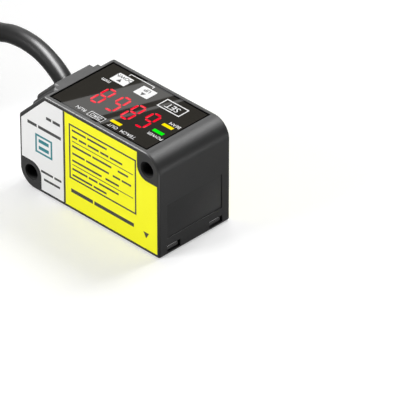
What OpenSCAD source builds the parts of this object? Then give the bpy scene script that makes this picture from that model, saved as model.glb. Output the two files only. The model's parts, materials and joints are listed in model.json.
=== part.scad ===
// Compact laser displacement sensor: a die-cast case with a digit display on top, a measuring
// window underneath, two through holes for screws and a fixed cable with a bare end.
// Millimetres. X runs from the cable end to the beam end, Y across the width and Z up to the display.
// The origin is the middle of the underside of the case.

/* [Case] */
// Length of the case along X
case_l = 44; // [43:0.5:50]
// Width of the case along Y
case_w = 22; // [22:0.5:28]
// Height of the case along Z
case_h = 26; // [26:0.5:32]
// Thickness of the two printed side walls
side_wall = 2.2; // [1.6:0.1:2.4]
// Thickness of the two end walls
end_wall = 1.5; // [1.2:0.1:1.6]
// Thickness of the sloping wall at the cable
slope_wall = 1.8; // [1.4:0.1:2.2]
// Radius of the two rounded corners beside the screw holes
corner_r = 4.6; // [3:0.1:5]
// Radius of the corner under the beam end
foot_r = 0.6; // [0.5:0.1:0.7]
// Size of the 45 degree slope at the cable corner
slope = 8; // [7:0.1:9]
// Radius where the slope meets the top and the end
slope_r = 0.8; // [0.6:0.1:1.5]
// Radius along the edges of the printed sides
edge_r = 0.5; // [0.2:0.1:0.5]

/* [Screw holes] */
// Diameter of the through holes
hole_d = 3.4; // [3.2:0.1:3.6]
// Distance of the hole axes from the ends
hole_inset_x = 3.7; // [3.4:0.1:4]
// Distance of the hole axes from the top and the underside
hole_inset_z = 4.1; // [3.8:0.1:4.4]
// Depth of the flare at each mouth
hole_flare = 0.3; // [0.1:0.1:0.5]
// Wall of the cast pillars round the holes
pillar_wall = 1.2; // [1:0.1:1.3]

/* [Cable boss] */
// Height of the boss above the slope
boss_h = 1.56; // [1.2:0.02:2]
// Width of the boss
boss_w = 11.6; // [9:0.2:13]
// Height of the step round the boss
step_h = 0.7; // [0.4:0.1:1]
// Width of the step
step_w = 14.4; // [13:0.2:16]
// Radius at the lower end of the boss
boss_r = 2; // [1:0.1:2.4]
// Bevel along the sides of the boss
boss_bevel = 0.5; // [0.2:0.1:0.7]

/* [Beam end] */
// Distance of the shallow recess in the beam end from the printed sides
recess_rim = 2.5; // [2:0.1:4]
// Height of the recess above the underside
recess_z = 4.4; // [4:0.1:6]
// Height of the recess itself
recess_h = 8.8; // [6:0.1:10]
// Depth of the recess
recess_depth = 0.3; // [0.1:0.1:0.5]
// Width of a clip slot
slot_w = 4.1; // [3:0.1:5]
// Distance of the clip slots from the sides of the window
slot_inset = 0.5; // [0.3:0.1:1]
// Height of the clip slots above the underside
slot_z = 0.7; // [0.5:0.1:1]
// Height of a clip slot itself
slot_h = 1.7; // [1.4:0.1:2.2]

/* [Labels] */
// Thickness of the label foil
label_t = 0.12; // [0.08:0.02:0.2]
// Depth of the label pockets
pocket_depth = 0.15; // [0.1:0.01:0.3]
// Distance of the labels from the ends
label_inset_x = 0.7; // [0.6:0.1:1.5]
// Distance of the labels from the top and the underside
label_inset_z = 0.9; // [0.7:0.1:1.5]
// Free distance round a screw hole
label_clear = 3.15; // [2.8:0.05:4]
// Distance from the cable end to where the white label ends
white_l = 14; // [12:0.5:18]
// Gap between the white and the yellow label
label_gap = 0.3; // [0.2:0.1:0.6]
// Gap between a label and the edge of its pocket
label_play = 0.06; // [0.04:0.01:0.08]

/* [Display] */
// Distance from the display film to the printed sides
panel_rim = 1.2; // [1:0.1:1.6]
// Distance from the display film to the beam end
panel_inset = 5; // [4.8:0.1:5.4]
// Distance from the display film to the slope at the cable end
panel_margin = 0.8; // [0.5:0.1:1.2]
// Thickness of the display film
sheet_t = 0.3; // [0.2:0.05:0.5]
// Depth of the film below the top of the case
sheet_drop = 0.1; // [0.05:0.05:0.3]
// Thickness of the plate under the film
carrier_t = 1; // [0.8:0.1:1.2]
// Width of the ledge that the plate lies on
ledge_w = 1; // [0.8:0.1:1.1]
// Thickness of that ledge
ledge_t = 1; // [0.8:0.1:1.2]
// Gap round the film and round pieces in the plate's openings
panel_play = 0.1; // [0.05:0.01:0.15]
// Width of a digit, as a part of the film's length
digit_w_part = 0.1; // [0.09:0.002:0.104]
// Height of a digit, as a part of the film's width
digit_h_part = 0.352; // [0.32:0.004:0.36]
// Distance from one digit to the next, as a part of the film's length
digit_pitch_part = 0.155; // [0.15:0.001:0.156]
// Middle of the four digits on the film, in parts of its length and width
digits_at = [0.003, -0.069];
// Width of a segment
segment_w = 0.75; // [0.5:0.05:0.9]
// Gap between neighbouring segments
segment_gap = 0.25; // [0.15:0.05:0.4]
// Depth of a segment in the block
segment_t = 0.3; // [0.2:0.05:0.5]
// Rim of the digit block round the digits
digit_rim = 0.9; // [0.6:0.1:1]
// Gap between the film and what lies under it
sheet_gap = 0.1; // [0.05:0.05:0.2]
// Length of a lamp, as a part of the film's length
lamp_l_part = 0.102; // [0.09:0.002:0.104]
// Width of a lamp
lamp_w = 0.95; // [0.8:0.05:1.1]
// Middles of the output, power and laser lamps on the film, in parts of its length and width
output_lamp_at = [0.09, -0.35];
power_lamp_at = [0.394, -0.153];
laser_lamp_at = [0.391, 0];

/* [Keys] */
// Place of the row of keys on the film, as a part of its width
key_row = 0.311; // [0.3:0.001:0.316]
// Places of the down, up and set keys in that row, as parts of the film's length
down_key_at = -0.29; // [-0.3:0.001:-0.28]
up_key_at = -0.045; // [-0.055:0.001:-0.035]
set_key_at = 0.245; // [0.235:0.001:0.255]
// Width of a switch, as a part of the film's width
switch_part = 0.174; // [0.16:0.002:0.182]
// Height of a switch
switch_h = 1; // [0.9:0.1:1.2]
// Diameter of a plunger
plunger_d = 1.6; // [1.2:0.1:1.8]
// Gap round a plunger
plunger_play = 0.1; // [0.06:0.01:0.15]
// Travel of a key
key_travel = 0.25; // [0.15:0.05:0.3]
// Free depth left under a pressed plunger
key_spare = 0.05; // [0.05:0.01:0.1]
// How far a plunger sits in its switch
plunger_seat = 0.4; // [0.3:0.05:0.45]

/* [Boards] */
// Thickness of the circuit boards
board_t = 0.8; // [0.6:0.1:1]
// Free height between the carrier and the display board
board_drop = 2.2; // [2.1:0.1:2.4]
// Diameter of the posts between carrier and display board
post_d = 1.8; // [1.6:0.1:2]
// Diameter of the pin that goes through the display board
stake_d = 1; // [0.8:0.1:1.2]
// Thickness of the head on each pin
stake_head_t = 0.3; // [0.2:0.05:0.4]
// Diameter of the small screws
screw_d = 1.6; // [1.4:0.1:1.8]
// Diameter of a screw head
screw_head_d = 3; // [2.6:0.1:3.2]
// Thickness of a screw head
screw_head_t = 0.8; // [0.6:0.1:0.9]

/* [Window] */
// Distance from the window plate to the printed sides
window_rim = 1.9; // [1.8:0.1:2.4]
// Distance from the window plate to the cable end
window_back = 7; // [6.8:0.1:8]
// Thickness of the window plate
window_t = 1.5; // [1.3:0.1:1.6]
// Distance from the window plate to the beam end
window_inset = 1; // [0.9:0.05:1.2]
// Depth of the window plate above the underside
window_drop = 0.2; // [0.1:0.05:0.3]
// Gap round the window plate
window_play = 0.1; // [0.05:0.01:0.15]
// Width of the ledge round the window
window_ledge = 1.5; // [1.3:0.1:1.8]
// Width of the window seal
seal_w = 1.2; // [1:0.1:1.3]
// Thickness of the window seal
seal_t = 0.3; // [0.25:0.05:0.4]
// Thickness of the mask sheet
mask_t = 0.2; // [0.1:0.05:0.25]
// Thickness of the floor of the case
floor_t = 3.2; // [3:0.1:3.5]
// Distance from the beam axis to the beam end
beam_inset = 5.25; // [5.2:0.05:5.5]
// Length and width of the beam opening in the mask, in parts of the window
beam_hole_part = [0.158, 0.357];
// Length and width of the receiver opening in the mask, in parts of the window
receiver_hole_part = [0.572, 0.637];
// Middle of the receiver opening, as a part of the window's length from its beam end
receiver_at = 0.689; // [0.68:0.001:0.695]

/* [Optics] */
// Thickness of the base of the optics frame
base_t = 1.4; // [1.2:0.1:1.6]
// Gap between the optics frame and the case
frame_play = 0.2; // [0.15:0.05:0.3]
// Diameter of the laser barrel
barrel_d = 5.4; // [5:0.1:5.6]
// Length of the laser barrel
barrel_l = 9; // [8.6:0.1:9.4]
// Wall of the collar round the barrel
collar_wall = 0.75; // [0.6:0.05:0.8]
// Height of the collar
collar_h = 6.4; // [5:0.1:7]
// Diameter of the collimator lens
lens_d = 4.2; // [3.6:0.1:4.4]
// Diameter of the laser diode's flange and can
diode_flange_d = 3.8; // [3.4:0.1:4]
diode_can_d = 2.8; // [2.4:0.1:3]
// Length and width of the receiver lens, in parts of the window
receiver_lens_part = [0.417, 0.516];
// Width of the lip that the receiver lens lies on
lens_lip = 0.7; // [0.5:0.1:1]
// Height of the receiver lens at its crown
lens_crown = 3.4; // [2.8:0.1:4]
// Radius of the receiver lens surface
lens_r = 14; // [12:0.5:18]
// Length of the fold mirror, as a part of the lens, and its width, as a part of the window
mirror_part = [0.56, 0.44];
// Thickness of the fold mirror
mirror_t = 1.2; // [1:0.1:1.3]
// Place of the mirror, in parts of the lens length and of the inner height
mirror_at = [-0.28, 0.578];
// Width and height of the image sensor, in parts of the window's width and of the inner height
sensor_part = [0.352, 0.343];
// Thickness of the image sensor
sensor_t = 1.4; // [1.2:0.1:1.6]
// Place of the sensor board, as a part of the lens length
sensor_board_at = 0.52; // [0.5:0.01:0.55]
// Room for the chips between the main board and the case
chip_room = 1.7; // [1.6:0.1:1.8]

/* [Cable] */
// Diameter of the cable
cable_d = 4.4; // [4:0.1:4.4]
// Wall of the rubber bush
bush_wall = 1; // [0.8:0.1:1.2]
// Diameter of the flange of the bush inside the case
bush_flange_d = 7.8; // [7.2:0.1:8]
// Thickness of that flange
bush_flange_t = 1; // [0.8:0.1:1.2]
// Wall of the metal clamp on the cable
clamp_wall = 0.7; // [0.4:0.1:0.8]
// Length of the clamp
clamp_l = 2.2; // [1.8:0.1:2.4]
// Length of the cable inside the boss and the case
entry_l = 7.2; // [7:0.1:7.6]
// Diameter of a core
core_d = 1.2; // [0.9:0.1:1.3]
// Length of the straight runs of the hank
hank_run = 63; // [55:1:70]
// Number of cable layers in the hank
hank_rows = 5; // [5:1:5]
// Number of cable turns side by side in the hank
hank_columns = 2; // [2:1:2]
// Radius of the folds of the hank, to the middle of the inner turn
fold_r = 13.2; // [13.2:0.1:14]
// Width and thickness of a cable tie
tie_w = 4; // [3:0.5:6]
tie_t = 0.8; // [0.8:0.1:0.8]

/* [Hidden] */
$fn = 64;
eps = 0.01;
root2 = sqrt(2);

// Heights of the display stack, from the top down
sheet_top = case_h - sheet_drop;
sheet_z = sheet_top - sheet_t;
carrier_z = sheet_z - carrier_t;
roof_z = carrier_z - ledge_t;
room_h = roof_z - floor_t;
panel_l = case_l - slope - panel_inset - panel_margin;
panel_w = case_w - 2*panel_rim;
panel_x = case_l/2 - panel_inset - panel_l/2;
digit_w = digit_w_part*panel_l;
digit_h = digit_h_part*panel_w;
digit_pitch = digit_pitch_part*panel_l;
lamp_l = lamp_l_part*panel_l;
switch_w = switch_part*panel_w;
under_sheet = sheet_z - sheet_gap;
board_top = carrier_z - board_drop;
board_z = board_top - board_t;
digit_block_h = under_sheet - board_top;
plunger_z = board_top + switch_h - plunger_seat;

// Inner half width of the case, and the inner faces of its end walls
room_w = case_w/2 - side_wall;
room_x = case_l/2 - end_wall;

// Screw hole axes, in X and Z: the display corner at the beam end, the underside corner at the cable end
holes = [
    [case_l/2 - hole_inset_x, case_h - hole_inset_z],
    [-case_l/2 + hole_inset_x, hole_inset_z]
];
pillar_r = hole_d/2 + pillar_wall;

// The slope lies where Z - X equals this value
slope_line = case_h + case_l/2 - slope;

// Rounded corners of the side outline: X, Z and radius
slope_bend = slope_r*(root2 - 1);
case_corners = [
    [case_l/2 - foot_r, foot_r, foot_r],
    [case_l/2 - corner_r, case_h - corner_r, corner_r],
    [-case_l/2 + slope + slope_bend, case_h - slope_r, slope_r],
    [-case_l/2 + slope_r, case_h - slope - slope_bend, slope_r],
    [-case_l/2 + corner_r, corner_r, corner_r]
];
edge_steps = 3;

// Cable exit: the middle of the boss face, with the cable leaving square to it
exit_inset = (slope - boss_h*root2)/2;
exit_point = [-case_l/2 + exit_inset, 0, case_h - exit_inset];
exit_tilt = -45;
bush_d = cable_d + 2*bush_wall;
bush_play = 0.02;
wall_depth = boss_h + slope_wall + bush_play;

// Window stack, from the underside up
window_l = case_l - window_inset - window_back;
window_w = case_w - 2*window_rim;
window_x = case_l/2 - window_inset - window_l/2;
recess_w = case_w - 2*recess_rim;
slot_gap = window_w - 2*slot_w - 2*slot_inset;
label_split = white_l - case_l/2;
window_top = window_drop + window_t;
window_seat = window_top + mask_t + seal_t;
beam_x = case_l/2 - beam_inset;
receiver_x = window_x + (0.5 - receiver_at)*window_l;
function of_window(part) = [part.x*window_l, part.y*window_w];
beam_hole = of_window(beam_hole_part);
receiver_hole = of_window(receiver_hole_part);
receiver_lens = of_window(receiver_lens_part);
tab_reach = window_inset/2;
tab_play = 0.2;

// Optics frame: base on the floor, back wall towards the main board
base_top = floor_t + base_t;
base_left = holes[1].x + pillar_r + 0.8;
flex_z = base_top + barrel_l + 0.6;
flex_t = 0.2;
back_wall_t = 1;
standoff_h = 0.7;
back_wall_y = room_w - chip_room - board_t - standoff_h - back_wall_t;
mirror_size = [mirror_part[0]*receiver_lens.x, mirror_part[1]*window_w, mirror_t];
mirror_half = mirror_size.x/(2*root2);
mirror_back = mirror_t/root2;
mirror_x = receiver_x + mirror_at[0]*receiver_lens.x;
mirror_z = floor_t + mirror_at[1]*room_h;
back_wall_left = mirror_x - mirror_half - mirror_back;
back_wall_right = beam_x - 1.25;
back_wall_top = roof_z - 0.216*room_h;
main_board_y = back_wall_y + back_wall_t + standoff_h;
main_board_back = main_board_y + board_t;
frame_post_d = 3.6;
collar_play = 0.05;
collar_r = barrel_d/2 + collar_play + collar_wall;
frame_post_x = beam_x - collar_r - screw_head_d/2 - frame_play;
frame_posts = [
    [frame_post_x, floor_t + 0.21*room_h],
    [frame_post_x, flex_z + flex_t + frame_post_d/2 + 2*frame_play]
];
main_board_x = [back_wall_left - frame_play, frame_post_x - frame_post_d/2 - 2*frame_play];
main_board_l = main_board_x[1] - main_board_x[0];
main_board_z = [base_top + 0.6, back_wall_top + 0.2];
main_screws = [[main_board_x[0] + 2.5, base_top + 3.4], [main_board_x[1] - 2.4, base_top + 10.6]];
standoff_d = 3;
barrel_lip = 0.4;
barrel_mid = base_top + 4.4;
diode_flange_t = 1;
diode_z = base_top + barrel_l - diode_flange_t;
sensor_size = [sensor_part[0]*window_w, sensor_part[1]*room_h, sensor_t];
sensor_board_x = receiver_x + sensor_board_at*receiver_lens.x;
sensor_z = mirror_z + frame_play;
sensor_board_z = [sensor_z - 0.294*room_h, sensor_z + 0.196*room_h];

// Cable: an arch that leaves the boss, counted from the exit, then a fall to the top of the hank
cable_sides = 10;
cable_arch = [
    [0, 0, 0], [-0.6, 0, 0.6], [-2.4, 0, 2], [-5, 0, 3.5], [-7.9, 0, 4.6],
    [-10.9, 0, 5.1], [-14, 0, 5.1], [-17, 0, 4.6], [-19.9, 0, 3.6]
];
arch_end = exit_point + cable_arch[len(cable_arch) - 1];
fall_l = 31;
fall_steps = 8;
fall_part = 0.36;
hank_z = tie_t;
hank_in_r = fold_r - cable_d/2;
hank_out_r = hank_in_r + hank_columns*cable_d;
hank_h = hank_rows*cable_d;
hank_at = [arch_end.x - fall_l - hank_run/2, -fold_r + cable_d];
lane_y = hank_at.y + fold_r;
lane_z = hank_z + hank_h + cable_d/2;
function fall_point(u) = [
    arch_end.x - fall_l*u,
    lane_y*u*u*(3 - 2*u),
    lane_z + (arch_end.z - lane_z)*pow(1 - min(1, u/fall_part), 2)
];
cable_route = [
    each [for (step = cable_arch) exit_point + step],
    each [for (i = [1:fall_steps]) fall_point(i/fall_steps)]
];
// Bare end: the jacket lies on the hank, and the cores fan out from it
tail_y = hank_at.y - (hank_in_r + hank_out_r)/2;
tail_l = 10;
tail_start = hank_at.x + hank_run/2 - 17;
tail_x = [tail_start, tail_start + tail_l];
lead_l = 14;
lead_end_x = tail_x[1] + lead_l;
lead_spread = 2.2;
lead_circle_r = 1.15;
lead_turns = [162, 234, 90, 306, 18];
lead_lift = 0.5;
tip_l = 3;
tip_d = 0.7;
// Place of the ties along the hank, counted from its middle
tie_at = 4 - hank_run/2;

// Places a flat XZ outline so that it fills the width w about the middle plane
module across(w) {
    translate([0, w/2, 0]) rotate([90, 0, 0]) linear_extrude(w) children();
}

// A box from two opposite corners
module span(low, high) {
    translate(low) cube(high - low);
}

// A round rod from point a to point b
module rod(a, b, d) {
    v = b - a;
    translate(a) rotate([0, acos(v.z/norm(v)), atan2(v.y, v.x)]) cylinder(d = d, h = norm(v));
}

// A cylinder along Y from y0 to y1, about a point given in X and Z
module pin_y(at, d, y0, y1) {
    translate([at.x, y1, at.y]) rotate([90, 0, 0]) cylinder(d = d, h = y1 - y0);
}

// A flat slot outline with round ends, lying along X
module stadium(l, w) {
    square([l - w, w], center = true);
    for (side = [-1, 1]) translate([side*(l - w)/2, 0]) circle(d = w);
}

// Puts a piece on the cable axis, with Z pointing out of the boss face
module on_exit() {
    translate(exit_point) rotate([0, exit_tilt, 0]) children();
}

// Case

module case_blank() {
    hull()
        for (step = [0:edge_steps], corner = case_corners) {
            turn = 90*step/edge_steps;
            half = case_w/2 - edge_r*(1 - cos(turn));
            pin_y(corner, 2*(corner.z - edge_r*(1 - sin(turn))), -half, half);
        }
}

// One tier of the cable boss, w wide and rising h above the slope
module boss_tier(w, h) {
    lift = h*root2;
    run = slope - lift;
    bend = boss_r*(root2 - 1);
    top_r = boss_bevel;
    top_bend = top_r*(root2 - 1);
    corners = [
        [-case_l/2 + run + top_bend, case_h - top_r, top_r],
        [-case_l/2 + boss_r, case_h - run - bend, boss_r],
        [-case_l/2 + boss_r, case_h - slope - boss_r, boss_r],
        [-case_l/2 + slope + boss_r, case_h - boss_r - side_wall, boss_r],
        [-case_l/2 + slope + boss_r, case_h - top_r, top_r]
    ];
    hull()
        for (corner = corners, bevel = [0, 1]) {
            half = w/2 - boss_bevel*bevel;
            pin_y(corner, 2*(corner.z - boss_bevel*(1 - bevel)) + eps, -half, half);
        }
}

// Inner space of the case, seen from the side
module room_outline() {
    inner_slope = slope_line - slope_wall*root2;
    difference() {
        polygon([
            [-room_x, floor_t], [room_x, floor_t], [room_x, roof_z],
            [roof_z - inner_slope, roof_z], [-room_x, inner_slope - room_x]
        ]);
        for (hole = holes) translate(hole) circle(r = pillar_r);
    }
}

// Free corner round a screw hole: a square towards the case corner with a round inner corner
module hole_corner(hole) {
    out = [sign(hole.x), sign(hole.y - case_h/2)];
    translate(hole) {
        circle(r = label_clear);
        scale(out) {
            translate([-label_clear, 0]) square([label_clear + case_l/2, case_h]);
            translate([0, -label_clear]) square([case_l/2, label_clear + case_h]);
        }
    }
}

// Outline shared by the labels and their pockets, grown by the pocket's play
module label_outline(grow) {
    x = case_l/2 - label_inset_x + grow;
    low = label_inset_z - grow;
    high = case_h - label_inset_z + grow;
    edge = slope_line - (label_inset_z - grow)*root2;
    difference() {
        polygon([[-x, low], [x, low], [x, high], [high - edge, high], [-x, edge - x]]);
        for (hole = holes)
            difference() {
                hole_corner(hole);
                if (grow > 0) hole_rim(hole, grow);
            }
    }
}

// Band that a pocket takes from the free corner round a hole
module hole_rim(hole, grow) {
    difference() {
        translate(hole) square(4*case_l, center = true);
        offset(delta = -grow) hole_corner(hole);
    }
}

module label_pocket(side) {
    translate([0, side*(case_w/2 - pocket_depth/2 + eps/2), 0])
        across(pocket_depth + eps) label_outline(label_play);
}

module housing() {
    color("#2b2c2e")
        difference() {
            union() {
                case_blank();
                boss_tier(step_w, step_h);
                boss_tier(boss_w, boss_h);
            }
            difference() {
                across(2*room_w) room_outline();
                for (post = frame_posts)
                    pin_y(post, frame_post_d, back_wall_y + back_wall_t, room_w + eps);
            }
            for (post = frame_posts)
                pin_y(post, screw_d, back_wall_y, room_w - frame_play);
            for (hole = holes) {
                pin_y(hole, hole_d, -case_w, case_w);
                for (side = [-1, 1])
                    translate([hole.x, side*(case_w/2 + eps), hole.y])
                        rotate([side*90, 0, 0])
                            cylinder(d1 = hole_d + 2*hole_flare, d2 = hole_d, h = hole_flare + eps);
            }
            display_seat();
            window_seat_cut();
            beam_end_cuts();
            for (side = [-1, 1]) label_pocket(side);
            on_exit() translate([0, 0, -wall_depth - side_wall])
                cylinder(d = bush_d, h = wall_depth + side_wall + boss_h);
        }
}

// Recess for the film and its carrier, and the opening inside the ledge
module display_seat() {
    seat = [panel_l + 2*panel_play, panel_w + 2*panel_play];
    opening = [panel_l - 2*ledge_w, panel_w - 2*ledge_w];
    translate([panel_x, 0, carrier_z]) linear_extrude(case_h) square(seat, center = true);
    translate([panel_x, 0, roof_z - eps]) linear_extrude(case_h) square(opening, center = true);
}

// Recess for the window plate, and the opening inside its ledge
module window_seat_cut() {
    seat = [window_l + 2*window_play, window_w + 2*window_play];
    opening = [window_l - 2*window_ledge, window_w - 2*window_ledge];
    translate([window_x, 0, -eps]) linear_extrude(window_seat + eps) square(seat, center = true);
    translate([window_x, 0, -eps]) linear_extrude(floor_t + 2*eps) square(opening, center = true);
}

// Shallow recess and the two clip slots in the beam end
module beam_end_cuts() {
    span([case_l/2 - recess_depth, -recess_w/2, recess_z], [case_l, recess_w/2, recess_z + recess_h]);
    for (side = [-1, 1])
        translate([case_l/2 - window_inset, side*(slot_gap + slot_w)/2, slot_z + slot_h/2])
            cube([2*window_inset + case_l/10, slot_w, slot_h], center = true);
}

// Window

module window_plate() {
    tab_w = slot_w - 2*tab_play;
    tab_h = window_top - slot_z - tab_play;
    tab_x = window_x + window_l/2 + tab_reach/2 - eps;
    color("#b9bcc0", 0.6) {
        translate([window_x, 0, window_drop]) linear_extrude(window_t)
            square([window_l, window_w], center = true);
        for (side = [-1, 1])
            translate([tab_x, side*(slot_gap + slot_w)/2, window_top - tab_h/2])
                cube([tab_reach + 2*eps, tab_w, tab_h], center = true);
    }
}

module window_mask() {
    color("#8f8d8c")
        translate([0, 0, window_top]) linear_extrude(mask_t)
            difference() {
                translate([window_x, 0]) square([window_l, window_w], center = true);
                translate([beam_x, 0]) square(beam_hole, center = true);
                translate([receiver_x, 0]) stadium(receiver_hole.x, receiver_hole.y);
            }
}

module window_seal() {
    color("#1a1a1a")
        translate([window_x, 0, window_top + mask_t]) linear_extrude(seal_t)
            difference() {
                square([window_l, window_w], center = true);
                square([window_l - 2*seal_w, window_w - 2*seal_w], center = true);
            }
}

// Display

module display_sheet() {
    color("#1d1c1b")
        translate([panel_x, 0, sheet_z]) linear_extrude(sheet_t) square([panel_l, panel_w], center = true);
}

digit_block_l = 3*digit_pitch + digit_w + 2*digit_rim;
digit_block_w = digit_h + 2*digit_rim;
function on_film(part) = [panel_x + part.x*panel_l, part.y*panel_w];
lamps = [for (at = [output_lamp_at, power_lamp_at, laser_lamp_at]) on_film(at)];
keys = [for (at = [down_key_at, up_key_at, set_key_at]) on_film([at, key_row])];
digits = on_film(digits_at);
board_x = [panel_x - panel_l/2 + ledge_w + 0.3, holes[0].x - pillar_r - 0.7];
board_w = panel_w - 2*ledge_w - 0.8;
posts = [for (x = [board_x[0] + 1.2, board_x[1] - 1.2], y = [-1, 1]) [x, y*(board_w/2 - 1.2)]];

module display_carrier() {
    color("#232323") {
        translate([0, 0, carrier_z]) linear_extrude(carrier_t)
            difference() {
                translate([panel_x, 0]) square([panel_l, panel_w], center = true);
                translate(digits)
                    square([digit_block_l + 2*panel_play, digit_block_w + 2*panel_play], center = true);
                for (at = lamps) translate(at)
                    square([lamp_l + 2*panel_play, lamp_w + 2*panel_play], center = true);
                for (at = keys) translate(at) circle(d = plunger_d + 2*plunger_play);
            }
        for (at = posts) translate(at) {
            translate([0, 0, board_top]) cylinder(d = post_d, h = board_drop + eps);
            translate([0, 0, board_z - stake_head_t]) cylinder(d = stake_d, h = board_t + 2*stake_head_t);
            translate([0, 0, board_z - stake_head_t]) cylinder(d = post_d, h = stake_head_t);
        }
    }
}

// The seven bars of a digit: middle and size, seen with the digit's top towards +Y
function bars() = let (w = digit_w - segment_w, h = (digit_h - segment_w)/2, gap = segment_w + segment_gap)
    [
        [[0, h], [w - gap, segment_w]],
        [[w/2, h/2], [segment_w, h - gap]],
        [[w/2, -h/2], [segment_w, h - gap]],
        [[0, -h], [w - gap, segment_w]],
        [[-w/2, -h/2], [segment_w, h - gap]],
        [[-w/2, h/2], [segment_w, h - gap]],
        [[0, 0], [w - gap, segment_w]]
    ];

// Bars that stay dark, digit by digit: the lower left bar of every second digit
dark_bars = [[], [4], [], [4]];

function is_dark(digit, bar) = len(search(bar, dark_bars[digit])) > 0;

// One bar with pointed ends, lying along its longer side
module bar_outline(size) {
    half = size/2;
    tip = min(half.x, half.y);
    if (size.x > size.y)
        polygon([
            [-half.x - tip, 0], [-half.x, -tip], [half.x, -tip],
            [half.x + tip, 0], [half.x, tip], [-half.x, tip]
        ]);
    else
        polygon([
            [0, -half.y - tip], [tip, -half.y], [tip, half.y],
            [0, half.y + tip], [-tip, half.y], [-tip, -half.y]
        ]);
}

// Outlines of the lit or the dark bars of all four digits
module segment_outlines(dark) {
    for (digit = [0:3], bar = [0:6])
        if (is_dark(digit, bar) == dark)
            translate(digits + [(digit - 1.5)*digit_pitch, 0] + bars()[bar][0])
                bar_outline(bars()[bar][1]);
}

module segments(dark) {
    translate([0, 0, under_sheet - segment_t]) linear_extrude(segment_t) segment_outlines(dark);
}

module digit_block() {
    color("#151515")
        difference() {
            translate([digits.x, digits.y, board_top]) linear_extrude(digit_block_h)
                square([digit_block_l, digit_block_w], center = true);
            for (dark = [false, true])
                translate([0, 0, under_sheet - segment_t]) linear_extrude(case_h) segment_outlines(dark);
        }
}

module lit_segments() { color("#ff1030") segments(false); }
module unlit_segments() { color("#3a2226") segments(true); }

// A light guide that hangs in the carrier by its flange, with its foot over a lamp chip
chip_size = [1.6, 0.8, 0.6];
guide_flange_t = 0.4;
module light_guide(at) {
    translate(at) {
        foot = board_top + chip_size.z + sheet_gap;
        translate([0, 0, foot]) linear_extrude(under_sheet - foot) square([lamp_l, lamp_w], center = true);
        translate([0, 0, carrier_z - guide_flange_t]) linear_extrude(guide_flange_t)
            square([lamp_l, lamp_w] + [6, 6]*panel_play, center = true);
    }
}

module output_lamp() { color("#ffd21c") light_guide(lamps[0]); }
module power_lamp() { color("#2fe03a") light_guide(lamps[1]); }
module laser_lamp() { color("#ffd21c") light_guide(lamps[2]); }

module lamp_chips() {
    color("#e8e4d0")
        for (at = lamps)
            translate([at.x, at.y, board_top + chip_size.z/2]) cube(chip_size, center = true);
}

module display_board() {
    color("#1f5c34")
        difference() {
            span([board_x[0], -board_w/2, board_z], [board_x[1], board_w/2, board_top]);
            for (at = posts)
                translate([at.x, at.y, board_z - eps]) cylinder(d = stake_d, h = board_t + 2*eps);
        }
}

// Keys

module switch(at) {
    color("#c9c9c4")
        difference() {
            translate([at.x, at.y, board_top + switch_h/2])
                cube([switch_w, switch_w, switch_h], center = true);
            translate([at.x, at.y, plunger_z - key_travel - key_spare])
                cylinder(d = plunger_d + 2*plunger_play, h = switch_h);
        }
}

module plunger(at) {
    color("#e6e2d6")
        translate([at.x, at.y, plunger_z]) cylinder(d = plunger_d, h = under_sheet - plunger_z);
}

module down_switch() { switch(keys[0]); }
module up_switch() { switch(keys[1]); }
module set_switch() { switch(keys[2]); }
module down_plunger() { plunger(keys[0]); }
module up_plunger() { plunger(keys[1]); }
module set_plunger() { plunger(keys[2]); }

// Electronics

module main_board() {
    color("#1f5c34")
        difference() {
            span([main_board_x[0], main_board_y, main_board_z[0]],
                 [main_board_x[1], main_board_back, main_board_z[1]]);
            for (at = main_screws) pin_y(at, screw_d, main_board_y - eps, main_board_back + eps);
        }
}

header_pins = 5;
header_size = [0.515*main_board_l, 1.4, 2.2];
header_pitch = header_size.x/5.5;
header_pin_d = 0.5;
module board_header() {
    x = main_board_x[0] + 0.534*main_board_l;
    top = main_board_z[1] - 0.2;
    y = main_board_back + header_size.y/2;
    color("#2a2a2a") {
        translate([x, y, top - header_size.z/2]) cube(header_size, center = true);
        for (i = [0:header_pins - 1])
            translate([x + (i - (header_pins - 1)/2)*header_pitch, y, top - eps])
                cylinder(d = header_pin_d, h = board_z - top + eps);
    }
}

// A chip on the outer face of the main board: its place from the board's low corner, then its size
module board_chip(at, size) {
    translate([main_board_x[0] + at.x, main_board_back, main_board_z[0] + at.y]) cube(size);
}

module signal_chip() { color("#202124") board_chip([0.28*main_board_l, 1.4], [0.328*main_board_l, 1, 7]); }
module driver_chip() { color("#26272a") board_chip([main_board_l - 5.4, 1.4], [4, 0.8, 3]); }

module capacitors() {
    color("#b08a5a")
        for (i = [0:2]) board_chip([main_board_l - 5.8 + 1.8*i, 5.8], [1.2, 1, 2]);
}

// Screws along Y with their heads on the side given by the sign
module screw_y(at, face, reach, side) {
    pin_y(at, screw_d, min(face, face - side*reach), max(face, face - side*reach));
    pin_y(at, screw_head_d, min(face, face + side*screw_head_t), max(face, face + side*screw_head_t));
}

module board_screws() {
    color("#b9bbbe")
        for (at = main_screws) screw_y(at, main_board_back, main_board_back - back_wall_y - 0.3, 1);
}

module frame_screws() {
    color("#b9bbbe")
        for (at = frame_posts) screw_y(at, back_wall_y, room_w - back_wall_y - 2*frame_play, -1);
}

// Optics

// Mirror and its seat in a frame whose X runs along the mirror face and whose Z is its back
module on_mirror() {
    translate([mirror_x, 0, mirror_z]) rotate([0, -45, 0]) children();
}

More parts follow.
